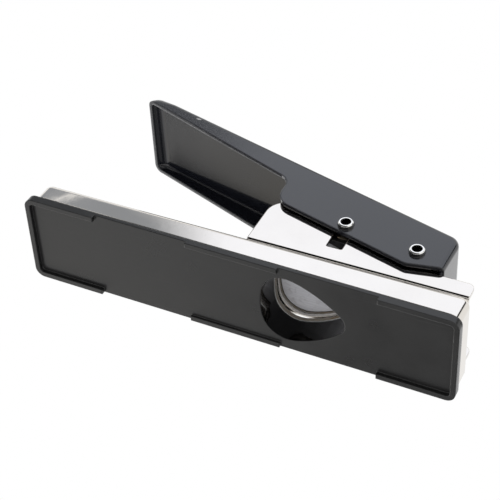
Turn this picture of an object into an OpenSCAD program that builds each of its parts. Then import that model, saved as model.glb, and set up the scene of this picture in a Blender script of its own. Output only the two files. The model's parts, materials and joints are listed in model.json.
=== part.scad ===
// Lever punch that cuts guitar picks out of plastic card. Millimetres.
// X runs from the lever's free end to its pivot, Z is up, and the base stands on Z = 0.
// What stands on the sloping deck is drawn in the deck's own frame: u along it, w square to it.

/* [Base] */
// Length of the base
base_l = 165; // [155:1:190]
// Width of the base
base_w = 36; // [36:0.5:44]
// Radius of the base's upright corners
base_corner_r = 3.5; // [3.2:0.1:5]
// Height of the deck above the table at mid-length
deck_h = 13; // [12.2:0.1:17]
// Rise of the deck towards the pivot, in degrees
deck_slope = 0.75; // [0:0.05:1.5]
// Sheet of the steel pan
pan_t = 1.2; // [0.8:0.1:1.5]
// Outside radius of the pan's folded top edge
pan_bend_r = 2.6; // [2:0.1:3]
// Step from the cover's long sides in to the pan
pan_inset = 0.3; // [0.1:0.1:0.6]
// Step from the cover's front end in to the pan
pan_front_inset = 2.6; // [0.3:0.1:4]
// Step from the cover's rear end in to the pan
pan_rear_inset = 0.9; // [0.3:0.1:1.5]

/* [Cover] */
// Height of the rim that the base stands on
rim_h = 1.6; // [1.4:0.1:3]
// Height of the shallow rim at mid-length
mid_rim_h = 1; // [0.6:0.1:1.3]
// Width of the rim
rim_w = 2; // [1.4:0.1:2.5]
// Distance from mid-length to the near end of a rim gap
rim_gap_near = 17.5; // [8:0.5:30]
// Distance from mid-length to the far end of a rim gap
rim_gap_far = 54; // [40:0.5:70]
// Thickness of the cover's plate
plate_t = 1.9; // [1.4:0.1:2.5]
// Height of the seam between the pan and the cover's edge
seam_h = 0.4; // [0.2:0.1:0.8]
// Height of the plug wall inside the pan
plug_h = 3.5; // [2:0.1:4.5]
// Thickness of the plug wall
plug_t = 1.4; // [1:0.1:2]
// Wall of the chute that the picks drop through
chute_t = 0.9; // [0.8:0.1:1.1]

/* [Pick] */
// Length of the pick
pick_l = 30; // [28:0.5:32]
// Width of the pick
pick_w = 26.2; // [24:0.2:26.4]
// Radius of the pick's shoulders
shoulder_r = 8.8; // [8:0.1:10]
// Radius of the pick's tip
tip_r = 4.3; // [2.5:0.1:5]
// Radius of the pick's back
back_r = 34; // [26:1:45]
// Radius of the pick's long sides
side_r = 40.6; // [38:0.2:60]
// Distance from mid-length of the base to the back of the pick
pick_back_x = 11.2; // [6:0.2:16]

/* [Die] */
// Depth of the die's cutting land
land_h = 1.6; // [1.4:0.1:2.4]
// Thickness of the die's flange under the deck
die_t = 2; // [1.6:0.1:3]
// Width of the land round the pick
land_w = 1.4; // [1:0.1:1.6]
// Room between the pick and the ends of the die plate
die_margin = 5.2; // [4.8:0.1:7]
// Room between the pick and the mouth of the chute
mouth_gap = 0.8; // [0.5:0.05:1]
// Room between the pick and the chute at the deck
throat_gap = 0.25; // [0.15:0.05:0.4]

/* [Frame] */
// Wall of the guide beside the pick, which sets the frame's width
guide_wall = 0.47; // [0.4:0.01:1.5]
// Sheet of the frame
frame_t = 1.2; // [0.9:0.05:1.3]
// Height of the frame above the deck
frame_h = 26; // [25:0.5:27]
// Height of the frame's tail above the deck
tail_h = 9; // [6:0.1:9.4]
// Length of the frame in front of the pick
frame_nose = 11.9; // [11:0.1:16]
// Length of the tall cheek behind the pivot
cheek_back = 6.2; // [5.5:0.1:6.8]
// Step from the base's rear end to the frame's tail
tail_inset = 2.5; // [1:0.1:6]
// Radius of the frame's upper front corner
cheek_front_r = 7.5; // [2:0.5:9]
// Radius of the frame's upper rear corner
cheek_back_r = 4; // [2:0.5:6]
// Height of the card slot
slot_h = 1.3; // [0.8:0.1:2]
// Distance from the pick's tip to the stop at the end of the card slot
card_stop = 2; // [1:0.1:3]
// Thickness of the punch guide
guide_t = 3; // [2:0.1:3.4]

/* [Ram] */
// Height of the punch face above the deck with the lever up
punch_lift = 3.7; // [3:0.1:4.5]
// Material between the punch and the drive hole
stem_floor = 1.8; // [1.4:0.1:2.2]
// Material above the drive hole
stem_roof = 1.4; // [1:0.1:2.2]
// Length of the crosshead's stem
stem_l = 18; // [16:0.5:22]
// Thickness of the crosshead's arms
arm_t = 2.5; // [2:0.1:3]
// Radius of the screws that hold the punch
screw_r = 1.5; // [1.2:0.1:1.8]

/* [Springs] */
// Mean radius of a return spring
spring_r = 3.1; // [2.6:0.1:3.4]
// Radius of the spring wire
wire_r = 0.5; // [0.35:0.05:0.6]
// Turns of a return spring
spring_turns = 6; // [4:1:7]
// Room between a spring and the punch
spring_clear = 1.3; // [0.8:0.1:2]
// Height of the lower spring posts above the guide
post_h = 4.6; // [3:0.1:5.2]
// Length of the upper spring buttons
button_h = 2.4; // [1.5:0.1:3]

/* [Lever] */
// Sheet of the lever
lever_t = 1.5; // [1:0.1:1.6]
// Room between the frame and the lever's flanges
lever_gap = 0.8; // [0.3:0.1:1]
// Angle between the raised lever and the deck
lever_open = 15.6; // [12:0.1:16]
// Height of the pivot above the deck
pivot_h = 14.9; // [14.4:0.1:16]
// Height of the lever's back above the pivot
lever_back = 15; // [14:0.1:16]
// Reach of the lever in front of the pivot
lever_reach = 136.5; // [120:0.5:150]
// Length of the lever behind the pivot
lever_tail = 11.8; // [11.2:0.1:13]
// Depth of the lever's flange at its front end
flange_front = 4.4; // [4:0.1:7]
// Depth of the shallow flange where it meets the deep one
flange_mid = 10.3; // [8:0.1:11]
// Depth of the deep flange
flange_deep = 22.2; // [21:0.1:23]
// Depth of the flange at the rear end
flange_tail = 16.3; // [15.5:0.1:17]
// Distance from the pivot to the front edge of the deep flange
deep_front = 60; // [56:0.5:70]
// Slope of the deep flange's front edge, in degrees
deep_rake = 17; // [10:1:30]
// Radius of the hollow in front of the deep flange
throat_r = 6; // [3:0.5:7]
// Radius of the deep flange's lower front corner
jaw_r = 7; // [4:0.5:8]
// Radius of the flange's edge below the pivot
heel_r = 4; // [2:0.5:6]
// Outside radius of the lever's long bends
lever_edge_r = 2; // [1.8:0.1:3]
// Outside radius where the lever's back turns down into its front end
lever_nose_r = 5.5; // [4:0.1:7]
// Outside radius of the lever's upright front corners
lever_corner_r = 3; // [2.5:0.1:4]
// Outside radius where the lever's back turns down into its rear end
lever_rear_r = 5; // [3:0.1:6]
// Draft of the lever's front end, in degrees
front_draft = 15; // [0:1:20]
// Draft of the lever's rear end, in degrees
rear_draft = 14; // [10:0.5:20]

/* [Pins] */
// Radius of the two tubular pins
pin_r = 2.7; // [2.4:0.05:2.9]
// Radius of the hole in a pin
pin_bore_r = 1.9; // [1:0.1:2]
// Length of a pin outside the lever
pin_proud = 1.5; // [1:0.1:3]
// Wall of the sleeve on the drive pin
sleeve_t = 0.8; // [0.6:0.1:1]
// Wall of the spacer on the pivot pin
spacer_t = 1.4; // [1:0.1:1.8]
// Height of the pivot above the drive pin with the lever down
drive_drop = 3.4; // [2.6:0.1:4]
// Distance from the back of the pick to the drive pin
drive_from_back = 18.05; // [16:0.05:20]

/* [Rivets] */
// Radius of the rivets that hold the frame
rivet_r = 2; // [1.5:0.1:2.4]
// Radius of the small rivets
small_rivet_r = 1.3; // [1:0.1:1.5]

/* [Hidden] */
// Clearances
cut_gap = 0.05;
guide_gap = 0.08;
press_gap = 0.02;
run_gap = 0.05;
side_gap = 0.3;
plug_gap = 0.3;
chute_gap = 0.3;
seat_gap = 0.05;
land_gap = 0.1;
pivot_gap = 2.05;
slot_gap = 0.12;
slot_over = 0.15;
seam_in = 0.3;
// Small details shared by several pieces
edge_c = 0.35;
frame_bend_r = 1.8;
tail_corner_r = 2.4;
slot_corner_r = 0.6;
anchor_t = 2;
anchor_l = 27;
bush_t = 1;
bush_flange_t = 0.8;
bush_flange_w = 1.4;
head_over = 1.5;
head_h = 1.5;
small_head_over = 0.9;
small_head_h = 0.8;
screw_head_r = 2.6;
screw_head_h = 2.2;
screw_socket_r = 1.3;
screw_socket_h = 1.1;
screw_depth = 6;
rivet_edge = 2.6;
rivet_y = 8.5;
post_shank_r = 1.4;
seat_w = 1.2;
hex_n = 6;
arc_n = 7;
hull_fn = 32;
round_fn = 48;
ring_n = 8;
wire_n = 6;
far = 60;
eps = 0.01;

// Base and cover
plate_top = rim_h + plate_t;
pan_l = base_l - pan_front_inset - pan_rear_inset;
pan_mid = (pan_front_inset - pan_rear_inset) / 2;
pan_w = base_w - 2 * pan_inset;
plug_l = pan_l - 2 * pan_t - 2 * plug_gap;
plug_w = pan_w - 2 * pan_t - 2 * plug_gap;
plug_corner_r = base_corner_r - pan_t - plug_gap;
rim_corner_r = base_corner_r - rim_w;
relief_gap = throat_gap + chute_t + chute_gap;
die_half_w = pan_w / 2 - pan_bend_r - land_gap;

// Stations along the deck
tip_u = pick_back_x + pick_l;
front_spring_u = pick_back_x - spring_clear - spring_r - wire_r;
rear_spring_u = tip_u + spring_clear + spring_r + wire_r;
seat_r = spring_r + wire_r + seat_w;
arm_front_u = front_spring_u - seat_r;
arm_rear_u = rear_spring_u + seat_r;
pivot_u = arm_rear_u + pivot_gap + pin_r + spacer_t;
frame_front_u = pick_back_x - frame_nose;
frame_end_u = base_l / 2 - tail_inset;
anchor_end_u = base_l / 2 - pan_rear_inset - pan_bend_r - land_gap;
cheek_end_u = pivot_u + cheek_back;
stop_u = tip_u + card_stop;
drive_u = pick_back_x + drive_from_back;

// Lever arm and stroke
arm_run = pivot_u - drive_u;
arm_len = norm([arm_run, drive_drop]);
drive_rest_u = pivot_u - arm_run * cos(lever_open) - drive_drop * sin(lever_open);
drive_rest_w = pivot_h + arm_run * sin(lever_open) - drive_drop * cos(lever_open);
drive_down_w = pivot_h - drive_drop;
stroke = drive_rest_w - drive_down_w;
drive_near_u = pivot_u - arm_len;
drive_mid_u = (drive_near_u + drive_rest_u) / 2;
drive_play = (drive_rest_u - drive_near_u) / 2;

// Heights above the deck
web_top = slot_h + frame_t;
guide_top = web_top + guide_t;
sleeve_r = pin_r + press_gap + sleeve_t;
hole_r = sleeve_r + run_gap;
hole_play = drive_play + run_gap;
punch_top = drive_rest_w - hole_r - stem_floor;
head_top = drive_rest_w + hole_r + stem_roof;
arm_low = head_top - arm_t;
frame_half = pick_w / 2 + guide_gap + guide_wall + seat_gap + frame_t;
frame_w = 2 * frame_half;
frame_in = frame_half - frame_t;
bend_in_r = frame_bend_r - frame_t;
ram_half = frame_in - side_gap;
lever_in = frame_half + lever_gap;
lever_half = lever_in + lever_t;
pin_half = lever_half + pin_proud;

// World places of the joints, for whoever poses the part
pivot_x = pivot_u * cos(deck_slope) - pivot_h * sin(deck_slope);
pivot_z = deck_h + pivot_u * sin(deck_slope) + pivot_h * cos(deck_slope);
echo(pivot = [pivot_x, 0, pivot_z], ram_axis = [sin(deck_slope), 0, -cos(deck_slope)]);
echo(stroke = stroke, stroke_per_radian = stroke / lever_open * 180 / PI);

// Points of an arc, the last one left to the next arc
function on_circle(r, a) = r * [cos(a), sin(a)];
function arc(c, r, a0, a1, n) = [for (i = [0 : n - 1]) c + on_circle(r, a0 + (a1 - a0) * i / n)];
function unit(v) = v / norm(v);
function heading(v) = atan2(v[1], v[0]);
function turn(d) = d > 180 ? d - 360 : d < -180 ? d + 360 : d;

// Points that round corner b, between a and c, to radius r
function corner(a, b, c, r) =
    r <= 0 ? [b] :
    let (d1 = unit(a - b),
        d2 = unit(c - b),
        half = acos(d1 * d2) / 2,
        m = b + unit(d1 + d2) * r / sin(half),
        a0 = heading(b + d1 * r / tan(half) - m),
        sweep = turn(heading(b + d2 * r / tan(half) - m) - a0))
    [for (i = [0 : arc_n]) m + on_circle(r, a0 + sweep * i / arc_n)];

// A closed outline with each corner rounded to its own radius
function rounded(p, r) =
    let (n = len(p))
    [for (i = [0 : n - 1]) each corner(p[(i + n - 1) % n], p[i], p[(i + 1) % n], r[i])];
function round_rect(l, w, r) =
    rounded([[-l / 2, -w / 2], [l / 2, -w / 2], [l / 2, w / 2], [-l / 2, w / 2]], [r, r, r, r]);

// Pick outline: back, shoulder, side and tip arcs that run into each other, grown by g
shoulder_y = pick_w / 2 - shoulder_r;
shoulder_c = [back_r - sqrt(pow(back_r - shoulder_r, 2) - pow(shoulder_y, 2)), shoulder_y];
tip_c = [pick_l - tip_r, 0];
back_c = [back_r, 0];
side_span = norm(tip_c - shoulder_c);
side_more = pow(side_r - shoulder_r, 2) - pow(side_r - tip_r, 2);
side_along = (side_more + pow(side_span, 2)) / (2 * side_span);
side_across = sqrt(pow(side_r - shoulder_r, 2) - pow(side_along, 2));
side_dir = (tip_c - shoulder_c) / side_span;
side_c = shoulder_c + side_along * side_dir + side_across * [side_dir[1], -side_dir[0]];
back_end = heading(shoulder_c - back_c);
side_start = heading(shoulder_c - side_c);
side_end = heading(tip_c - side_c);
function pick_half(g) = concat(
    arc(back_c, back_r + g, 180, back_end, arc_n),
    arc(shoulder_c, shoulder_r + g, back_end, side_start, arc_n),
    arc(side_c, side_r + g, side_start, side_end, arc_n),
    arc(tip_c, tip_r + g, side_end, 0, arc_n),
    [[pick_l + g, 0]]);
function pick_points(g) =
    let (h = pick_half(g))
    concat(h, [for (i = [len(h) - 2 : -1 : 1]) [h[i][0], -h[i][1]]]);

// Places what is drawn on the deck, on the raised lever and along the pivot line
module on_deck() translate([0, 0, deck_h]) rotate([0, -deck_slope, 0]) children();
module on_lever() on_deck() translate([pivot_u, 0, pivot_h]) rotate([0, lever_open, 0]) children();
module at_drive() on_deck() translate([drive_rest_u, 0, drive_rest_w]) children();
module at_pivot() on_deck() translate([pivot_u, 0, pivot_h]) children();
module both_sides() for (s = [-1, 1]) scale_y(s) children();
module scale_y(s) if (s > 0) children(); else mirror([0, 1, 0]) children();
module across(p, w) rotate([90, 0, 0]) linear_extrude(height = w, center = true) polygon(p);
module along(p, l) rotate([90, 0, 90]) linear_extrude(height = l, center = true) polygon(p);
module pick(g, w0, w1)
    translate([pick_back_x, 0, w0]) linear_extrude(height = w1 - w0) polygon(pick_points(g));
module drafted_pick(g0, w0, g1, w1) hull() {
    pick(g0, w0, w0 + eps);
    pick(g1, w1 - eps, w1);
}
module slab(u0, u1, half, w0, w1) translate([u0, -half, w0]) cube([u1 - u0, 2 * half, w1 - w0]);
module drill(r, w0, w1) translate([0, 0, w0]) cylinder(r = r, h = w1 - w0, $fn = round_fn);
module bar_y(r, half) rotate([90, 0, 0]) cylinder(r = r, h = 2 * half, center = true, $fn = round_fn);

module places(us, y) for (u = us) for (s = [-1, 1]) translate([u, s * y, 0]) children();
module rivet_places()
    places([cheek_end_u + rivet_edge, frame_end_u - rivet_edge - rivet_r], rivet_y) children();
module die_rivet_places()
    places([pick_back_x - die_margin + rivet_edge, tip_u + die_margin - rivet_edge], die_half_w - rivet_edge)
        children();
module guide_rivet_places()
    places([arm_front_u + rivet_edge, arm_rear_u - rivet_edge], frame_in - rivet_edge) children();
module spring_places() for (u = [front_spring_u, rear_spring_u]) translate([u, 0, 0]) children();
screw_step = stem_l / 2 - screw_r - seat_w;
module screw_places() for (s = [-1, 1]) translate([drive_mid_u + s * screw_step, 0, 0]) children();

// Rivet from w0 to w1 with domed or flush ends
module rivet(r, w0, w1, over, top_h, low_h) {
    drill(r, w0, w1);
    if (top_h > 0) translate([0, 0, w1]) dome(r + over, top_h);
    if (low_h > 0) translate([0, 0, w0]) mirror([0, 0, 1]) dome(r + over, low_h);
}
module dome(r, h) rotate_extrude($fn = round_fn)
    polygon(concat([[0, 0]], [for (i = [0 : arc_n]) [r * cos(90 * i / arc_n), h * sin(90 * i / arc_n)]]));

// Cover: plate, rim in lengths, pad for the pan, plug wall and drafted chute, all moulded in one
module bottom_cover() color([0.2, 0.2, 0.21]) difference() {
    union() {
        translate([0, 0, rim_h]) cover_layer(base_l, base_w, base_corner_r, plate_t - seam_h);
        cover_rim();
        translate([pan_mid, 0, plate_top - seam_h - eps])
            cover_layer(pan_l - 2 * seam_in, pan_w - 2 * seam_in, base_corner_r - seam_in, seam_h + eps);
        translate([pan_mid, 0, plate_top - eps]) linear_extrude(height = plug_h + eps) difference() {
            polygon(round_rect(plug_l, plug_w, plug_corner_r));
            polygon(round_rect(plug_l - 2 * plug_t, plug_w - 2 * plug_t, plug_corner_r - plug_t));
        }
        drafted_pick(mouth_gap + chute_t, rim_h, throat_gap + chute_t, deck_h);
    }
    drafted_pick(mouth_gap, rim_h - eps, throat_gap, deck_h + eps);
    on_deck() slab(-far, base_l, base_w, -land_h - seat_gap, far);
}
module cover_layer(l, w, r, h) linear_extrude(height = h) polygon(round_rect(l, w, r));
module cover_rim() difference() {
    linear_extrude(height = rim_h + eps) difference() {
        polygon(round_rect(base_l, base_w, base_corner_r));
        polygon(round_rect(base_l - 2 * rim_w, base_w - 2 * rim_w, rim_corner_r));
    }
    for (s = [-1, 1]) translate([s * (rim_gap_near + rim_gap_far) / 2, 0, 0])
        cube([rim_gap_far - rim_gap_near, 2 * base_w, 2 * rim_h], center = true);
    cube([2 * rim_gap_near, 2 * base_w, 2 * (rim_h - mid_rim_h)], center = true);
}

// Pan: a folded sheet tray, upside down, cut level where it sits on the cover
module base_pan() color([0.86, 0.87, 0.88]) difference() {
    intersection() {
        on_deck() pan_form(0);
        translate([-base_l, -base_w, plate_top]) cube([2 * base_l, 2 * base_w, far]);
    }
    on_deck() {
        pan_form(pan_t);
        pick(land_w + land_gap, -2 * pan_t, pan_t);
        die_rivet_places() drill(small_rivet_r + press_gap, -2 * pan_t, pan_t);
        rivet_places() drill(rivet_r + press_gap, -2 * pan_t, pan_t);
    }
}
module pan_form(inset) translate([pan_mid, 0, -inset]) hull() for (sx = [-1, 1]) for (sy = [-1, 1])
    translate([sx * (pan_l / 2 - base_corner_r), sy * (pan_w / 2 - base_corner_r), 0])
        pan_post(base_corner_r - inset, pan_bend_r - inset);
module pan_post(r, bend) rotate_extrude($fn = hull_fn)
    polygon(concat([[0, 0], [0, -2 * deck_h], [r, -2 * deck_h]],
        [for (i = [0 : arc_n]) [r - bend, -bend] + on_circle(bend, 90 * i / arc_n)]));

// Die: a flange under the deck and a land that comes up flush through it
module die_plate() color([0.62, 0.62, 0.64]) on_deck() difference() {
    union() {
        slab(pick_back_x - die_margin, tip_u + die_margin, die_half_w, -pan_t - die_t, -pan_t);
        pick(land_w, -pan_t - eps, 0);
    }
    pick(0, -far, pan_t);
    pick(relief_gap, -far, -land_h);
    die_rivet_places() drill(small_rivet_r + press_gap, -far, pan_t);
}
module die_rivets() color([0.7, 0.7, 0.72]) on_deck() die_rivet_places()
    rivet(small_rivet_r, -pan_t - die_t, 0, small_head_over, 0, small_head_h);

// Plate under the deck that the frame's rivets pull up against
module anchor_plate() color([0.6, 0.6, 0.62]) on_deck() difference() {
    slab(anchor_end_u - anchor_l, anchor_end_u, frame_in, -pan_t - anchor_t, -pan_t);
    rivet_places() drill(rivet_r + press_gap, -far, 0);
}

// Shim that holds the card slot open and stops the card
module slot_shim() color([0.66, 0.66, 0.68]) on_deck() difference() {
    slab(stop_u, frame_end_u, frame_half - frame_bend_r, 0, slot_h);
    rivet_places() drill(rivet_r + press_gap, -slot_h, 2 * slot_h);
}

// Frame: a folded channel with tall cheeks over the pick and a low tail
module frame() color([0.9, 0.9, 0.92]) on_deck() difference() {
    intersection() {
        translate([(frame_front_u + frame_end_u) / 2, 0, 0]) along(channel(), 2 * base_l);
        across(cheek(), 2 * frame_w);
    }
    pick(guide_gap, 0, 2 * web_top);
    guide_rivet_places() drill(small_rivet_r + press_gap, 0, 2 * web_top);
    rivet_places() drill(rivet_r + press_gap, 0, 2 * web_top);
    translate([pivot_u, 0, pivot_h]) bar_y(bush_r + press_gap, frame_w);
    drive_slot();
}
function channel_side(half, low, r) =
    rounded([[-half, 2 * frame_h], [-half, low], [half, low], [half, 2 * frame_h]], [0, r, r, 0]);
function reversed(p) = [for (i = [len(p) - 1 : -1 : 0]) p[i]];
function channel() = concat(
    channel_side(frame_half, slot_h, frame_bend_r),
    reversed(channel_side(frame_in, web_top, bend_in_r)));
function cheek() = rounded(
    [[frame_front_u, slot_h], [frame_end_u, slot_h], [frame_end_u, tail_h], [cheek_end_u, tail_h],
        [cheek_end_u, frame_h], [frame_front_u, frame_h]],
    [0, 0, tail_corner_r, tail_corner_r, cheek_back_r, cheek_front_r]);
module drive_slot() {
    half = pin_r + drive_play + slot_gap;
    height = stroke + 2 * (pin_r + slot_over);
    translate([drive_mid_u, 0, (drive_down_w + drive_rest_w) / 2])
        across(round_rect(2 * half, height, slot_corner_r), 2 * frame_w);
}
module frame_rivets() color([0.75, 0.75, 0.77]) on_deck() rivet_places()
    rivet(rivet_r, -pan_t - anchor_t, web_top, head_over, head_h, head_h);

// Guide: a thick plate on the frame's web that keeps the punch square to the die
module guide_plate() color([0.55, 0.56, 0.58]) on_deck() difference() {
    slab(arm_front_u, arm_rear_u, frame_in - seat_gap, web_top, guide_top);
    for (s = [-1, 1]) translate([0, s * frame_in, web_top]) rotate([45, 0, 0])
        cube([2 * base_l, 2 * bend_in_r, 2 * bend_in_r], center = true);
    pick(guide_gap, 0, 2 * guide_top);
    guide_rivet_places() drill(small_rivet_r + press_gap, 0, 2 * guide_top);
    spring_places() drill(post_shank_r + press_gap, 0, 2 * guide_top);
}
module guide_rivets() color([0.7, 0.7, 0.72]) on_deck() guide_rivet_places()
    rivet(small_rivet_r, slot_h, guide_top, small_head_over, small_head_h, 0);

// Return springs on their posts
module spring_posts() color([0.7, 0.7, 0.72]) on_deck() spring_places() {
    drill(post_shank_r, web_top, guide_top);
    translate([0, 0, guide_top]) stud(post_h);
}
module stud(h) rotate_extrude($fn = round_fn)
    polygon([[0, 0], [stud_r, 0], [stud_r, h - edge_c], [stud_r - edge_c, h], [0, h]]);
stud_r = spring_r - wire_r - side_gap;
spring_low = guide_top + seat_gap + wire_r;
spring_high = arm_low - seat_gap - wire_r;
ring_count = spring_turns * ring_n;
function coil(i) =
    let (a = 360 * i / ring_n)
    [spring_r * cos(a), spring_r * sin(a), spring_low + (spring_high - spring_low) * i / ring_count];
function coil_ring(i) =
    let (out = [cos(360 * i / ring_n), sin(360 * i / ring_n), 0],
        rise = (spring_high - spring_low) / spring_turns,
        run = unit([-2 * PI * spring_r * out[1], 2 * PI * spring_r * out[0], rise]),
        up = cross(out, run))
    [for (k = [0 : wire_n - 1]) coil(i) + wire_r * (cos(360 * k / wire_n) * out + sin(360 * k / wire_n) * up)];
coil_points = [for (i = [0 : ring_count]) each coil_ring(i)];
coil_faces = concat(
    [for (i = [0 : ring_count - 1]) for (k = [0 : wire_n - 1])
        each let (a = i * wire_n + k, b = i * wire_n + (k + 1) % wire_n)
            [[a, b, b + wire_n], [a, b + wire_n, a + wire_n]]],
    [for (k = [1 : wire_n - 2]) [0, k + 1, k]],
    [for (k = [1 : wire_n - 2]) [0, k, k + 1] + ring_count * wire_n * [1, 1, 1]]);
coil_steps = [for (i = [0 : ring_n]) for (j = [i + ring_n / 2 : ring_count]) norm(coil(i) - coil(j))];
coil_gap = min(coil_steps) - 2 * wire_r;
echo(least_gap_of_the_spring_to_itself = coil_gap);
module return_spring(u) on_deck() translate([u, 0, 0]) polyhedron(points = coil_points, faces = coil_faces);
module spring_front() color([0.8, 0.8, 0.82]) return_spring(front_spring_u);
module spring_rear() color([0.8, 0.8, 0.82]) return_spring(rear_spring_u);

// Bushes in the frame that carry the pivot pin
bush_bore = pin_r + run_gap;
bush_r = bush_bore + bush_t;
bush_flange_r = bush_r + bush_flange_w;
bush_face = frame_in - bush_flange_t;
module pivot_bushes() color([0.72, 0.6, 0.36]) at_pivot() both_sides()
    rotate([90, 0, 0]) rotate_extrude($fn = round_fn)
        polygon([[bush_bore, bush_face], [bush_flange_r, bush_face], [bush_flange_r, frame_in],
            [bush_r, frame_in], [bush_r, frame_half], [bush_bore, frame_half]]);

// Ram: pick-shaped punch, and the crosshead that the drive pin pushes
module punch() color([0.64, 0.64, 0.68]) on_deck() difference() {
    pick(-cut_gap, punch_lift, punch_top);
    screw_places() drill(screw_r + press_gap, punch_top - screw_depth, far);
}
module crosshead() color([0.5, 0.5, 0.53]) on_deck() difference() {
    union() {
        slab(drive_mid_u - stem_l / 2, drive_mid_u + stem_l / 2, ram_half, punch_top, head_top);
        translate([(arm_front_u + arm_rear_u) / 2, 0, arm_low])
            linear_extrude(height = arm_t) polygon(round_rect(arm_rear_u - arm_front_u, 2 * ram_half, seat_r));
    }
    for (s = [-1, 1]) translate([drive_mid_u + s * hole_play, 0, drive_rest_w]) bar_y(hole_r, frame_w);
    translate([drive_mid_u, 0, drive_rest_w]) cube([2 * hole_play, 2 * frame_w, 2 * hole_r], center = true);
    screw_places() {
        drill(screw_r + press_gap, 0, far);
        drill(screw_head_r + seat_gap, head_top - screw_head_h, far);
    }
    spring_places() drill(post_shank_r + press_gap, 0, far);
}
module punch_screws() color([0.3, 0.3, 0.32]) on_deck() screw_places() difference() {
    union() {
        drill(screw_r, punch_top - screw_depth + edge_c, head_top);
        drill(screw_head_r, head_top - screw_head_h, head_top);
    }
    translate([0, 0, head_top - screw_socket_h]) cylinder(r = screw_socket_r, h = screw_head_h, $fn = hex_n);
}
module spring_buttons() color([0.7, 0.7, 0.72]) on_deck() spring_places() {
    drill(post_shank_r, arm_low, head_top);
    translate([0, 0, arm_low]) mirror([0, 0, 1]) stud(button_h);
}

// Lever: a drawn channel, shallow at the grip and deep over the frame
module handle() color([0.12, 0.12, 0.13]) on_lever() difference() {
    intersection() {
        lever_form(0);
        across(lever_side(), 4 * lever_half);
    }
    lever_form(lever_t);
    bar_y(pin_r + press_gap, far);
    translate([-arm_run, 0, -drive_drop]) bar_y(pin_r + press_gap, far);
}
lever_floor = lever_back - flange_deep - 2 * lever_nose_r;
grip_low = lever_back - flange_front;
nose_q = lever_back - lever_nose_r;
nose_p = front_p(nose_q) + lever_nose_r / cos(front_draft);
rear_bend_q = lever_back - lever_rear_r;
rear_bend_p = rear_p(rear_bend_q) - lever_rear_r / cos(rear_draft);
function front_p(q) = -lever_reach + (q - grip_low) * tan(front_draft);
function rear_p(q) = lever_tail - q * tan(rear_draft);
module drum(p, q, big, r, inset) both_sides() translate([p, lever_half - r, q]) rotate([90, 0, 0])
    rotate_extrude($fn = hull_fn) polygon(concat([[0, 0]],
        [for (i = [0 : 2 * arc_n]) [big - r, 0] + on_circle(r - inset, 90 * (i / arc_n - 1))]));
module ball(p, q, r, inset) drum(p, q, r, r, inset);
module lever_form(inset) hull() {
    ball(front_p(lever_floor) + lever_corner_r / cos(front_draft), lever_floor, lever_corner_r, inset);
    drum(nose_p, nose_q, lever_nose_r, lever_corner_r, inset);
    ball(nose_p + lever_nose_r, lever_back - lever_edge_r, lever_edge_r, inset);
    drum(rear_bend_p, rear_bend_q, lever_rear_r, lever_edge_r, inset);
    ball(rear_p(lever_floor) - lever_edge_r / cos(rear_draft), lever_floor, lever_edge_r, inset);
}
function lever_side() =
    let (mid_q = lever_back - flange_mid,
        deep_q = lever_back - flange_deep,
        tail_q = lever_back - flange_tail,
        front = -lever_reach - far,
        rear = lever_tail + far)
    rounded(
        [[front, grip_low], [-lever_reach, grip_low], [-deep_front, mid_q],
            [-deep_front + (mid_q - deep_q) * tan(deep_rake), deep_q], [0, deep_q],
            [lever_tail, tail_q], [rear, tail_q], [rear, far], [front, far]],
        [0, 0, throat_r, jaw_r, heel_r, lever_edge_r, 0, 0, 0]);

// Pins: tubes pressed into the lever, with a sleeve on the one that drives the ram
module tube_y(r, bore, half) rotate([90, 0, 0]) rotate_extrude($fn = round_fn)
    polygon([[bore, -half], [r - edge_c, -half], [r, -half + edge_c], [r, half - edge_c], [r - edge_c, half],
        [bore, half]]);
module drive_pin() color([0.85, 0.85, 0.87]) at_drive() tube_y(pin_r, pin_bore_r, pin_half);
module drive_sleeve() color([0.6, 0.6, 0.62]) at_drive() tube_y(sleeve_r, pin_r + press_gap, ram_half);
module pivot_pin() color([0.85, 0.85, 0.87]) at_pivot() tube_y(pin_r, pin_bore_r, pin_half);
module pivot_spacer() color([0.6, 0.6, 0.62]) at_pivot()
    tube_y(pin_r + spacer_t, pin_r + press_gap, bush_face - run_gap);

bottom_cover();
base_pan();
die_plate();
die_rivets();
anchor_plate();
slot_shim();
frame();
frame_rivets();
guide_plate();
guide_rivets();
spring_posts();
spring_front();
spring_rear();
pivot_bushes();
punch();
crosshead();
punch_screws();
spring_buttons();
handle();
drive_pin();
drive_sleeve();
pivot_pin();
pivot_spacer();
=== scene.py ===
import json
import math

import bpy
import numpy as np
from mathutils import Matrix, Quaternion, Vector

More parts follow.
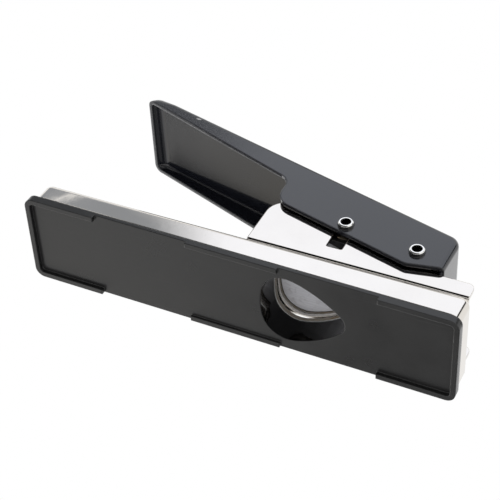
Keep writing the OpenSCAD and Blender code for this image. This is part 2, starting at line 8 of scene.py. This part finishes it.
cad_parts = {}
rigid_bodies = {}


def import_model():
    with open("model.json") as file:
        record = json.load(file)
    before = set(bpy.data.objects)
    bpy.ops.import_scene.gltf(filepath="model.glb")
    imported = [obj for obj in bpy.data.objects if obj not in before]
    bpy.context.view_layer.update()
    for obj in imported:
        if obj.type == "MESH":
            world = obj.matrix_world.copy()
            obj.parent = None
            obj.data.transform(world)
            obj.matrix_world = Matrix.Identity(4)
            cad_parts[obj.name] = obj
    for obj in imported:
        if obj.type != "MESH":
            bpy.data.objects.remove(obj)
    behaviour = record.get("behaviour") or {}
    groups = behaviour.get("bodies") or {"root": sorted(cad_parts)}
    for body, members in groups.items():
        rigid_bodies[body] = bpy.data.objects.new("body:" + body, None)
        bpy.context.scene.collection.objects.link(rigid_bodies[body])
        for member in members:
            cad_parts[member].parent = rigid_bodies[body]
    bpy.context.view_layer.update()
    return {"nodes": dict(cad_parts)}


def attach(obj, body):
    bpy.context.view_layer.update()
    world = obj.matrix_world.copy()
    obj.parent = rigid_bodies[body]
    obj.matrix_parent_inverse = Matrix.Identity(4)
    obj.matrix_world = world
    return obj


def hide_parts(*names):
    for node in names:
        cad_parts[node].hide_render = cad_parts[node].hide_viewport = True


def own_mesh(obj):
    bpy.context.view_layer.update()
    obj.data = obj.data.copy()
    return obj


for old in list(bpy.data.objects):
    bpy.data.objects.remove(old)

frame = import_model()
nodes = frame["nodes"]
scene = bpy.context.scene
scene.view_settings.view_transform = "Standard"

MM = 0.001

# Camera
# The punch lies on its side in the photograph, with its underside to the lens.
right = Vector((0.8969, 0.0420, 0.4402))
down = Vector((0.2547, 0.7647, -0.5920))
forward = Vector((-0.3615, 0.6431, 0.6751))
eye = Vector((0.1830, -0.3347, -0.3261))
lens = bpy.data.cameras.new("lens")
lens.sensor_width = 36.0
lens.lens = 104.4
lens.clip_start = 0.01
camera = bpy.data.objects.new("camera", lens)
scene.collection.objects.link(camera)
turn = Matrix((right, -down, -forward)).transposed()
camera.matrix_world = Matrix.Translation(eye) @ turn.to_4x4()
scene.camera = camera


# Shader helpers
# The colour sockets of the Mix node go by number, because their names are not unique.
MIX_FACTOR = 0
MIX_A = 6
MIX_B = 7
MIX_RESULT = 2


class Nodes:
    """A node tree that is written one node at a time."""

    def __init__(self, tree):
        self.tree = tree
        tree.nodes.clear()

    def add(self, kind, inputs=None, **props):
        made = self.tree.nodes.new(kind)
        for key, value in props.items():
            setattr(made, key, value)
        for key, value in (inputs or {}).items():
            self.put(made, key, value)
        return made

    def put(self, made, key, value):
        if isinstance(value, bpy.types.NodeSocket):
            self.tree.links.new(value, made.inputs[key])
        else:
            made.inputs[key].default_value = value

    def math(self, operation, a, b=0.0):
        return self.add("ShaderNodeMath", {0: a, 1: b}, operation=operation).outputs[0]

    def ramp(self, value, low, high, out_low=0.0, out_high=1.0):
        """Takes low to out_low and high to out_high, and holds both ends."""
        ends = {"From Min": low, "From Max": high, "To Min": out_low, "To Max": out_high}
        made = self.add("ShaderNodeMapRange", {"Value": value, **ends}, clamp=True)
        return made.outputs["Result"]

    def mix(self, factor, a, b):
        made = self.add("ShaderNodeMix", data_type="RGBA")
        for index, value in ((MIX_FACTOR, factor), (MIX_A, a), (MIX_B, b)):
            self.put(made, index, value)
        return made.outputs[MIX_RESULT]

    def coords(self):
        return self.add("ShaderNodeTexCoord").outputs["Object"]

    def scaled(self, vector, scale):
        return self.add("ShaderNodeMapping", {"Vector": vector, "Scale": scale}).outputs["Vector"]

    def noise(self, vector, scale, detail=3.0, rough=0.55, warp=0.0):
        look = {"Scale": scale, "Detail": detail, "Roughness": rough, "Distortion": warp}
        return self.add("ShaderNodeTexNoise", {"Vector": vector, **look}).outputs["Fac"]

    def bump(self, height, depth, strength=1.0, normal=None):
        made = self.add("ShaderNodeBump", {"Height": height, "Distance": depth, "Strength": strength})
        if normal is not None:
            self.put(made, "Normal", normal)
        return made.outputs["Normal"]

    def rounding(self, radius, samples=4):
        return self.add("ShaderNodeBevel", {"Radius": radius}, samples=samples).outputs["Normal"]

    def edges(self, radius, low=0.02, high=0.25):
        """1 along the piece's edges and 0 on its flats."""
        soft = self.rounding(radius, 6)
        true = self.add("ShaderNodeNewGeometry").outputs["Normal"]
        dot = self.add("ShaderNodeVectorMath", {0: soft, 1: true}, operation="DOT_PRODUCT").outputs["Value"]
        return self.ramp(dot, 1.0 - low, 1.0 - high)

    def crevices(self, reach, low, high):
        """1 deep in slots and corners and 0 in the open."""
        open_share = self.add("ShaderNodeAmbientOcclusion", {"Distance": reach}, samples=8).outputs["AO"]
        return self.ramp(open_share, high, low)


def surface(name, colour, metallic=0.0):
    made = bpy.data.materials.new(name)
    made.use_nodes = True
    made.diffuse_color = (*colour, 1.0)
    n = Nodes(made.node_tree)
    shader = n.add("ShaderNodeBsdfPrincipled", {"Base Color": (*colour, 1.0), "Metallic": metallic})
    n.add("ShaderNodeOutputMaterial", {"Surface": shader.outputs["BSDF"]})
    return made, n, shader


def wear_lines(n, where, along, across, low, high):
    """Fine lines drawn out along X: scratches or rolling marks."""
    return n.ramp(n.noise(n.scaled(where, (along, across, across)), 1.0, 2.0, 0.5), low, high)


# Materials
# The chute's walls, where shade is painted, start between the first two heights and keep within the third
# length of the middle.
CHUTE_EDGE = 1.7 * MM
CHUTE_WALL = 2.0 * MM
CHUTE_HALF = 16.5 * MM
NICK = (-47.7 * MM, -17.2 * MM, 69.3 * MM)


def black_plastic():
    made, n, shader = surface("black_plastic", (0.016, 0.0159, 0.0157))
    where = n.coords()
    cloud = n.noise(where, 45.0, 4.0)
    grain = n.noise(where, 1900.0, 2.0)
    rubs = wear_lines(n, where, 30.0, 1500.0, 0.66, 0.80)
    dull = n.mix(n.ramp(cloud, 0.3, 0.7), (0.013, 0.0129, 0.0130, 1), (0.019, 0.0188, 0.0189, 1))
    scuffed = n.mix(n.math("MULTIPLY", rubs, 0.35), dull, (0.045, 0.044, 0.043, 1))
    # the chute's walls are painted near black and made metallic so they mirror little: painted shade in the
    # chute
    at = n.add("ShaderNodeSeparateXYZ", {0: where}).outputs
    above = n.ramp(at["Z"], CHUTE_EDGE, CHUTE_WALL)
    within = n.math("LESS_THAN", n.math("ABSOLUTE", at["Y"]), CHUTE_HALF)
    chute_shade = n.math("MULTIPLY", above, within)
    n.put(shader, "Base Color", n.mix(chute_shade, scuffed, (0.004, 0.004, 0.004, 1)))
    n.put(shader, "Metallic", n.math("MULTIPLY", chute_shade, 0.75))
    rough = n.ramp(cloud, 0.25, 0.75, 0.25, 0.35)
    n.put(shader, "Roughness", n.math("SUBTRACT", rough, n.math("MULTIPLY", chute_shade, 0.23)))
    relief = n.math("MULTIPLY", grain, n.math("SUBTRACT", 1.0, chute_shade))
    n.put(shader, "Normal", n.bump(relief, 0.03 * MM, 0.5, n.rounding(0.55 * MM, 8)))
    return made


def black_paint():
    made, n, shader = surface("black_paint", (0.012, 0.0135, 0.019))
    n.put(shader, "Coat Weight", 0.45)
    n.put(shader, "Coat Roughness", 0.06)
    where = n.coords()
    cloud = n.noise(where, 30.0, 4.0)
    peel = n.noise(where, 900.0, 2.0)
    worn = n.edges(0.45 * MM)
    chips = n.math("MULTIPLY", worn, n.ramp(n.noise(where, 420.0, 3.0), 0.66, 0.70))
    # one deeper nick, longer than it is wide, shows bare metal on the near flange
    away = n.add("ShaderNodeVectorMath", {0: where, 1: NICK}, operation="SUBTRACT").outputs["Vector"]
    oval = n.scaled(away, (0.55, 1.0, 1.5))
    spread = n.add("ShaderNodeVectorMath", {0: oval}, operation="LENGTH").outputs["Value"]
    ragged = n.math("ADD", spread, n.math("MULTIPLY", n.noise(where, 1500.0), 0.4 * MM))
    nick = n.ramp(ragged, 0.85 * MM, 0.65 * MM)
    skin = n.mix(n.ramp(cloud, 0.3, 0.7), (0.0085, 0.0095, 0.0140, 1), (0.012, 0.0132, 0.0185, 1))
    chipped = n.mix(chips, skin, (0.30, 0.30, 0.31, 1))
    n.put(shader, "Base Color", n.mix(nick, chipped, (0.62, 0.62, 0.62, 1)))
    n.put(shader, "Roughness", n.ramp(cloud, 0.25, 0.75, 0.11, 0.19))
    n.put(shader, "Normal", n.bump(peel, 0.006 * MM, 0.5, n.rounding(0.80 * MM, 12)))
    return made


def chrome_plate():
    made, n, shader = surface("chrome_plate", (0.75, 0.715, 0.67), 1.0)
    where = n.coords()
    cloud = n.noise(where, 60.0, 4.0)
    lines = wear_lines(n, where, 40.0, 2600.0, 0.60, 0.78)
    unshaded = n.mix(n.ramp(cloud, 0.3, 0.75), (0.73, 0.695, 0.65, 1), (0.77, 0.735, 0.69, 1))
    # darker deep in slots and corners: painted shade
    n.put(shader, "Base Color", n.mix(n.crevices(4.0 * MM, 0.12, 0.32), unshaded, (0.05, 0.048, 0.045, 1)))
    rough = n.ramp(cloud, 0.3, 0.75, 0.03, 0.06)
    n.put(shader, "Roughness", n.math("ADD", rough, n.math("MULTIPLY", lines, 0.08)))
    wavy = n.bump(n.noise(where, 90.0, 2.0), 0.05 * MM, 0.5, n.rounding(0.45 * MM, 8))
    n.put(shader, "Normal", n.bump(n.noise(where, 600.0, 2.0), 0.004 * MM, 0.5, wavy))
    return made


def tool_steel():
    made, n, shader = surface("tool_steel", (0.42, 0.42, 0.44), 1.0)
    where = n.coords()
    cloud = n.noise(where, 160.0, 4.0)
    ground = n.noise(n.scaled(where, (60.0, 2400.0, 900.0)), 1.0, 3.0)
    patches = n.ramp(n.noise(where, 110.0, 3.0, 0.6, 0.6), 0.45, 0.66)
    # ground faces are bright; sawn and bored walls are darker and brown in patches: painted shade and
    # painted reflection
    normal = n.add("ShaderNodeNewGeometry").outputs["Normal"]
    up = n.add("ShaderNodeSeparateXYZ", {0: normal}).outputs["Z"]
    face = n.ramp(n.math("ABSOLUTE", up), 0.80, 0.95)
    shaded_wall = n.mix(patches, (0.27, 0.245, 0.20, 1), (0.23, 0.16, 0.075, 1))
    bright = n.mix(n.ramp(ground, 0.3, 0.7), (0.70, 0.70, 0.70, 1), (0.84, 0.84, 0.83, 1))
    whole = n.mix(face, shaded_wall, bright)
    # edges lighter: painted highlight
    n.put(shader, "Base Color", n.mix(n.edges(0.22 * MM), whole, (0.93, 0.92, 0.89, 1)))
    rough = n.ramp(cloud, 0.3, 0.7, 0.14, 0.26)
    n.put(shader, "Roughness", n.math("ADD", rough, n.math("MULTIPLY", face, 0.22)))
    n.put(shader, "Normal", n.bump(ground, 0.005 * MM, 0.6, n.rounding(0.25 * MM)))
    return made


def punch_steel():
    made, n, shader = surface("punch_steel", (0.70, 0.70, 0.74), 0.2)
    where = n.coords()
    cloud = n.noise(where, 140.0, 4.0)
    ground = n.noise(n.scaled(where, (90.0, 2600.0, 900.0)), 1.0, 3.0)
    smear = n.ramp(n.noise(where, 260.0, 3.0, 0.6, 0.8), 0.56, 0.72)
    bare = n.mix(n.ramp(ground, 0.3, 0.7), (0.66, 0.66, 0.70, 1), (0.80, 0.80, 0.84, 1))
    n.put(shader, "Base Color", n.mix(n.math("MULTIPLY", smear, 0.4), bare, (0.34, 0.33, 0.33, 1)))
    n.put(shader, "Roughness", n.ramp(cloud, 0.3, 0.7, 0.42, 0.58))
    n.put(shader, "Normal", n.bump(ground, 0.006 * MM, 0.6, n.rounding(0.15 * MM)))
    return made


def bright_steel():
    made, n, shader = surface("bright_steel", (0.55, 0.56, 0.58), 1.0)
    where = n.coords()
    cloud = n.noise(where, 220.0, 4.0)
    spangle = n.add("ShaderNodeTexVoronoi", {"Vector": where, "Scale": 900.0}).outputs["Distance"]
    zinc = n.mix(n.ramp(cloud, 0.3, 0.7), (0.48, 0.49, 0.51, 1), (0.60, 0.61, 0.62, 1))
    n.put(shader, "Base Color", zinc)
    n.put(shader, "Roughness", n.ramp(cloud, 0.3, 0.7, 0.22, 0.38))
    n.put(shader, "Normal", n.bump(spangle, 0.004 * MM, 0.4, n.rounding(0.2 * MM)))
    return made


def spring_wire():
    made, n, shader = surface("spring_wire", (0.50, 0.50, 0.52), 1.0)
    where = n.coords()
    cloud = n.noise(where, 500.0, 4.0)
    drawn = n.noise(n.scaled(where, (900.0, 900.0, 5200.0)), 1.0, 2.0)
    steel = n.mix(n.ramp(cloud, 0.35, 0.7), (0.46, 0.46, 0.48, 1), (0.56, 0.53, 0.48, 1))
    n.put(shader, "Base Color", steel)
    n.put(shader, "Roughness", n.ramp(drawn, 0.3, 0.7, 0.16, 0.32))
    n.put(shader, "Normal", n.bump(drawn, 0.004 * MM, 0.5))
    return made


def bush_brass():
    made, n, shader = surface("bush_brass", (0.60, 0.42, 0.17), 1.0)
    where = n.coords()
    cloud = n.noise(where, 350.0, 4.0)
    pores = n.add("ShaderNodeTexVoronoi", {"Vector": where, "Scale": 2600.0}).outputs["Distance"]
    brass = n.mix(n.ramp(cloud, 0.3, 0.7), (0.52, 0.35, 0.13, 1), (0.66, 0.48, 0.22, 1))
    n.put(shader, "Base Color", brass)
    n.put(shader, "Roughness", n.ramp(cloud, 0.3, 0.7, 0.28, 0.45))
    n.put(shader, "Normal", n.bump(pores, 0.01 * MM, 0.5, n.rounding(0.15 * MM)))
    return made


def dark_steel():
    made, n, shader = surface("dark_steel", (0.06, 0.06, 0.065), 1.0)
    where = n.coords()
    cloud = n.noise(where, 500.0, 4.0)
    worn = n.edges(0.2 * MM)
    oxide = n.mix(n.ramp(cloud, 0.3, 0.7), (0.045, 0.045, 0.05, 1), (0.09, 0.088, 0.085, 1))
    n.put(shader, "Base Color", n.mix(worn, oxide, (0.28, 0.28, 0.29, 1)))
    n.put(shader, "Roughness", n.ramp(cloud, 0.3, 0.7, 0.32, 0.50))
    n.put(shader, "Normal", n.bump(cloud, 0.006 * MM, 0.4, n.rounding(0.15 * MM)))
    return made


def pin_chrome():
    made, n, shader = surface("pin_chrome", (0.80, 0.79, 0.77), 1.0)
    where = n.coords()
    cloud = n.noise(where, 400.0, 4.0)
    turned = n.noise(n.scaled(where, (700.0, 4200.0, 700.0)), 1.0, 2.0)
    unshaded = n.mix(n.ramp(cloud, 0.3, 0.7), (0.80, 0.79, 0.77, 1), (0.87, 0.86, 0.83, 1))
    # darker and brown deep in corners where the pin meets the paint: painted shade
    n.put(shader, "Base Color", n.mix(n.crevices(3.0 * MM, 0.35, 0.80), unshaded, (0.06, 0.048, 0.036, 1)))
    n.put(shader, "Roughness", n.ramp(turned, 0.3, 0.7, 0.07, 0.16))
    n.put(shader, "Normal", n.bump(turned, 0.003 * MM, 0.5, n.rounding(0.15 * MM)))
    return made


FINISH = {"black_plastic": black_plastic(), "black_paint": black_paint(), "chrome_plate": chrome_plate(),
          "tool_steel": tool_steel(), "bright_steel": bright_steel(), "spring_wire": spring_wire(),
          "bush_brass": bush_brass(), "dark_steel": dark_steel(), "pin_chrome": pin_chrome()}


# CAD pieces
SHARP_ANGLE = 32.0
SAME_POINT = 2e-6
NO_AREA = 1e-18
NO_LENGTH = 1e-15


def smooth(piece, limit):
    """Shades bends smooth and keeps corners sharper than limit, without moving a point."""
    mesh = piece.data
    corner = np.empty(len(mesh.loops), np.int32)
    mesh.loops.foreach_get("vertex_index", corner)
    at = np.empty(len(mesh.vertices) * 3, np.float32)
    mesh.vertices.foreach_get("co", at)
    tri = at.reshape(-1, 3)[corner].reshape(-1, 3, 3).astype(np.float64)
    flat = np.cross(tri[:, 1] - tri[:, 0], tri[:, 2] - tri[:, 0])
    size = np.linalg.norm(flat, axis=1)
    flat /= np.maximum(size, NO_AREA)[:, None]
    facing = np.repeat(flat, 3, axis=0)
    weight = np.repeat(size, 3)
    place = np.round(tri.reshape(-1, 3) / SAME_POINT).astype(np.int64)
    group = np.unique(place, axis=0, return_inverse=True)[1].reshape(-1)
    order = np.argsort(group, kind="stable")
    starts = np.flatnonzero(np.r_[True, np.diff(group[order]) > 0])
    counts = np.diff(np.r_[starts, len(order)])
    result = facing.copy()
    for count in np.unique(counts):
        rows = starts[counts == count]
        pick = order[rows[:, None] + np.arange(count)]
        near = facing[pick]
        like = np.einsum("gik,gjk->gij", near, near) > math.cos(math.radians(limit))
        total = np.einsum("gij,gj,gjk->gik", like.astype(float), weight[pick], near)
        length = np.linalg.norm(total, axis=2, keepdims=True)
        result[pick] = np.where(length > NO_LENGTH, total / np.maximum(length, NO_LENGTH), near)
    mesh.polygons.foreach_set("use_smooth", np.ones(len(mesh.polygons), bool))
    mesh.normals_split_custom_set(result.tolist())


for piece in nodes.values():
    smooth(piece, SHARP_ANGLE)
    slot = piece.data.materials[0].name.split(".")[0]
    piece.data.materials[0] = FINISH[slot]
nodes["punch"].data.materials[0] = punch_steel()
nodes["crosshead"].data.materials[0] = FINISH["dark_steel"]


# Return springs
# Lengths here are in millimetres, and heights are taken square to the sloping deck.
SLOPE = math.radians(0.75)
DECK = 13.0
GUIDE_TOP = 5.5
ARM_LOW = 21.57
SEAT_GAP = 0.05
COIL_RADIUS = 3.1
WIRE_RADIUS = 0.5
TURNS = 6.0
END_CLOSING = 0.09
WIRE_SIDES = 10
TURN_STEPS = 32
FRONT_AT = 6.3
REAR_AT = 46.1


def on_deck(u, y, w):
    """A point of the sloping deck's own frame, in metres."""
    x = u * math.cos(SLOPE) - w * math.sin(SLOPE)
    z = DECK + u * math.sin(SLOPE) + w * math.cos(SLOPE)
    return Vector((x, y, z)) * MM


def return_spring(name, node, u):
    """A coil of round wire between the guide and the crosshead's arm, at u along the deck."""
    bottom = GUIDE_TOP + SEAT_GAP + WIRE_RADIUS
    height = ARM_LOW - SEAT_GAP - WIRE_RADIUS - bottom
    count = int(TURNS * TURN_STEPS)
    whole_turn = 2 * math.pi
    points = []
    faces = []
    for i in range(count + 1):
        t = i / count
        # the end turns lie closer than those between
        lift = t - END_CLOSING * math.sin(whole_turn * t)
        climb = 1 - END_CLOSING * whole_turn * math.cos(whole_turn * t)
        a = whole_turn * TURNS * t
        out = Vector((math.cos(a), math.sin(a), 0))
        sweep = COIL_RADIUS * whole_turn * TURNS
        run = Vector((-math.sin(a) * sweep, math.cos(a) * sweep, height * climb)).normalized()
        up = out.cross(run)
        centre = Vector((u, 0, bottom + height * lift)) + COIL_RADIUS * out
        for k in range(WIRE_SIDES):
            b = whole_turn * k / WIRE_SIDES
            p = centre + WIRE_RADIUS * (math.cos(b) * out + math.sin(b) * up)
            points.append(on_deck(p.x, p.y, p.z))
    for i in range(count):
        for k in range(WIRE_SIDES):
            first = i * WIRE_SIDES + k
            second = i * WIRE_SIDES + (k + 1) % WIRE_SIDES
            faces.append((first, second, second + WIRE_SIDES, first + WIRE_SIDES))
    faces.append(tuple(range(WIRE_SIDES))[::-1])
    faces.append(tuple(range(count * WIRE_SIDES, (count + 1) * WIRE_SIDES)))
    mesh = bpy.data.meshes.new(name)
    mesh.from_pydata(points, [], faces)
    mesh.polygons.foreach_set("use_smooth", [True] * len(mesh.polygons))
    mesh.materials.append(FINISH["spring_wire"])
    piece = bpy.data.objects.new(name, mesh)
    scene.collection.objects.link(piece)
    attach(piece, "base")
    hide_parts(node)
    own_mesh(piece)


return_spring("return_spring_front", "spring_front", FRONT_AT)
return_spring("return_spring_rear", "spring_rear", REAR_AT)


# Stage and light
HEART = (0, 0, 0.03)
FLOOR_REACH = 6.0
FLOOR_LEVEL = -0.0003
FLOOR_GLOW = 0.36
WORLD_FILL = 0.45
WORLD_WHITE = 1.0


def seen_by(thing, view=False, gloss=False):
    """Shows a stage piece to the lens or to reflections and to nothing else."""
    thing.visible_camera = view
    thing.visible_diffuse = False
    thing.visible_glossy = gloss
    thing.visible_transmission = gloss
    thing.visible_shadow = False
    thing.visible_volume_scatter = False


def quad(name, x, y, z, material):
    """A flat rectangle at height z that reaches x and y to either side."""
    mesh = bpy.data.meshes.new(name)
    corners = [(-x, -y, z), (x, -y, z), (x, y, z), (-x, y, z)]
    mesh.from_pydata(corners, [], [(0, 1, 2, 3)])
    mesh.materials.append(material)
    made = bpy.data.objects.new(name, mesh)
    scene.collection.objects.link(made)
    return made


def floor_material():
    """Pale and matt from above, and clear from below, where the lens stands."""
    made = bpy.data.materials.new("floor")
    made.use_nodes = True
    n = Nodes(made.node_tree)
    matt = n.add("ShaderNodeBsdfDiffuse", {"Color": (0.80, 0.80, 0.80, 1)}).outputs[0]
    glow = n.add("ShaderNodeEmission", {"Color": (1, 1, 1, 1), "Strength": FLOOR_GLOW}).outputs[0]
    lit = n.add("ShaderNodeAddShader", {0: matt, 1: glow}).outputs[0]
    clear = n.add("ShaderNodeBsdfTransparent").outputs[0]
    under = n.add("ShaderNodeNewGeometry").outputs["Backfacing"]
    shown = n.add("ShaderNodeMixShader", {0: under, 1: lit, 2: clear}).outputs[0]
    n.add("ShaderNodeOutputMaterial", {"Surface": shown})
    return made


floor = quad("floor", FLOOR_REACH, FLOOR_REACH, FLOOR_LEVEL, floor_material())
seen_by(floor, view=True)


def card_material(name, glow, colour, fade):
    """A card of even brightness that clears towards its edges."""
    made = bpy.data.materials.new(name)
    made.use_nodes = True
    n = Nodes(made.node_tree)
    share_across = n.add("ShaderNodeTexCoord").outputs["Generated"]
    at = n.add("ShaderNodeSeparateXYZ", {0: share_across}).outputs
    cover = None
    for axis, share in zip("XY", fade):
        off = n.math("SUBTRACT", 0.5, n.math("ABSOLUTE", n.math("SUBTRACT", at[axis], 0.5)))
        part = n.ramp(off, 0.0, share)
        cover = part if cover is None else n.math("MULTIPLY", cover, part)
    face = n.add("ShaderNodeEmission", {"Color": (*colour, 1), "Strength": glow}).outputs[0]
    clear = n.add("ShaderNodeBsdfTransparent").outputs[0]
    shown = n.add("ShaderNodeMixShader", {0: cover, 1: clear, 2: face}).outputs[0]
    n.add("ShaderNodeOutputMaterial", {"Surface": shown})
    return made


def facing(made, place, roll=0.0):
    """Puts a lamp or card at place, turned towards the middle of the object."""
    made.location = place
    aim = (Vector(HEART) - Vector(place)).to_track_quat("-Z", "Y")
    made.rotation_euler = (aim @ Quaternion((0, 0, 1), math.radians(roll))).to_euler()


def card(name, place, size, glow=0.0, fade=(0.2, 0.3), colour=(1, 1, 1), roll=0.0):
    """A black, grey or white card that only shows as a reflection in the glossy parts."""
    made = quad(name, size[0] / 2, size[1] / 2, 0.0, card_material(name, glow, colour, fade))
    seen_by(made, gloss=True)
    facing(made, place, roll)


def softbox(name, place, size, radiance):
    """An area lamp for the matt part of the light: the cards stand for it in reflections."""
    lamp = bpy.data.lights.new(name, "AREA")
    lamp.shape = "RECTANGLE"
    lamp.size, lamp.size_y = size
    lamp.energy = radiance * math.pi * size[0] * size[1]
    made = bpy.data.objects.new(name, lamp)
    scene.collection.objects.link(made)
    made.visible_glossy = False
    facing(made, place)


# Each card stands where one set of surfaces mirrors it to the photograph's side.
softbox("key", (0.05, -0.72, 0.76), (1.05, 0.8), 1.3)
softbox("fill", (-0.60, 0.62, -0.52), (0.6, 0.7), 0.8)
softbox("under", (-0.10, -0.05, -0.85), (0.5, 0.5), 2.6)
card("card_key", (0.09, -0.72, 0.76), (1.266, 0.54), 1.30, (0.078, 0.08), (0.945, 0.98, 1.06))
card("card_left", (-0.95, -0.76, 0.72), (1.30, 0.9), 0.37, (0.08, 0.2), (0.94, 1.0, 1.09))
card("card_grip", (-0.53, -0.56, 0.80), (0.30, 0.16), 0.40, (0.45, 0.25), (0.94, 1.0, 1.09))
card("card_line", (-0.528, -0.590, 0.655), (0.010, 0.6), 1.1, (0.2, 0.1))
card("card_rim", (0.46, -0.72, 0.80), (0.05, 0.5), 4.0, (0.2, 0.2))
card("card_top", (-0.28, -0.27, 1.0), (0.24, 0.36), 0.0, (0.2, 0.2))
card("card_back", (-0.42, 0.72, 0.80), (0.9, 0.5), 0.05, (0.2, 0.3))
card("card_front", (0.0, -0.80, -0.74), (2.8, 0.95), 0.12)
card("card_brow", (-0.29, -0.99, 0.08), (0.50, 0.92), 0.0, (0.1, 0.08))
card("card_far", (-0.20, 0.78, -0.78), (0.56, 0.9), 0.32, (0.35, 0.3))
card("card_web", (-0.58, 0.75, -0.41), (0.66, 0.36), 0.86, (0.3, 0.2), (1.06, 1.0, 0.88))
card("card_shade", (-0.694, 0.648, -0.333), (0.36, 0.08), 0.0, (0.1, 0.15), roll=35.0)
card("card_edge", (-0.741, 0.662, -0.129), (0.32, 0.07), 5.0, (0.1, 0.2), roll=34.0)
card("card_nose", (-0.901, 0.492, -0.353), (0.24, 0.24), 0.0, (0.15, 0.15))
card("card_bend", (0.28, 0.72, -0.86), (0.66, 0.5), 0.05, (0.12, 0.15))
card("card_crease", (-0.80, 0.04, -0.62), (0.80, 0.50), 0.28, (0.15, 0.2))
card("card_side", (-0.86, -0.58, -0.16), (0.8, 1.15), 0.06, (0.15, 0.12))
card("card_end", (0.66, 0.68, -0.38), (0.8, 0.8), 0.26, (0.15, 0.15))
card("card_right", (0.72, -0.46, 0.80), (0.35, 0.7), 0.0, (0.35, 0.2))

world = bpy.data.worlds.new("studio")
world.use_nodes = True
scene.world = world
w = Nodes(world.node_tree)
path = w.add("ShaderNodeLightPath").outputs
mirrored = w.math("MAXIMUM", path["Is Glossy Ray"], path["Is Transmission Ray"])
seen = w.math("MAXIMUM", path["Is Camera Ray"], mirrored)
dim = w.add("ShaderNodeBackground", {"Color": (1, 1, 1, 1), "Strength": WORLD_FILL}).outputs[0]
white = w.add("ShaderNodeBackground", {"Color": (1, 1, 1, 1), "Strength": WORLD_WHITE}).outputs[0]
sky = w.add("ShaderNodeMixShader", {0: seen, 1: dim, 2: white}).outputs[0]
w.add("ShaderNodeOutputWorld", {"Surface": sky})
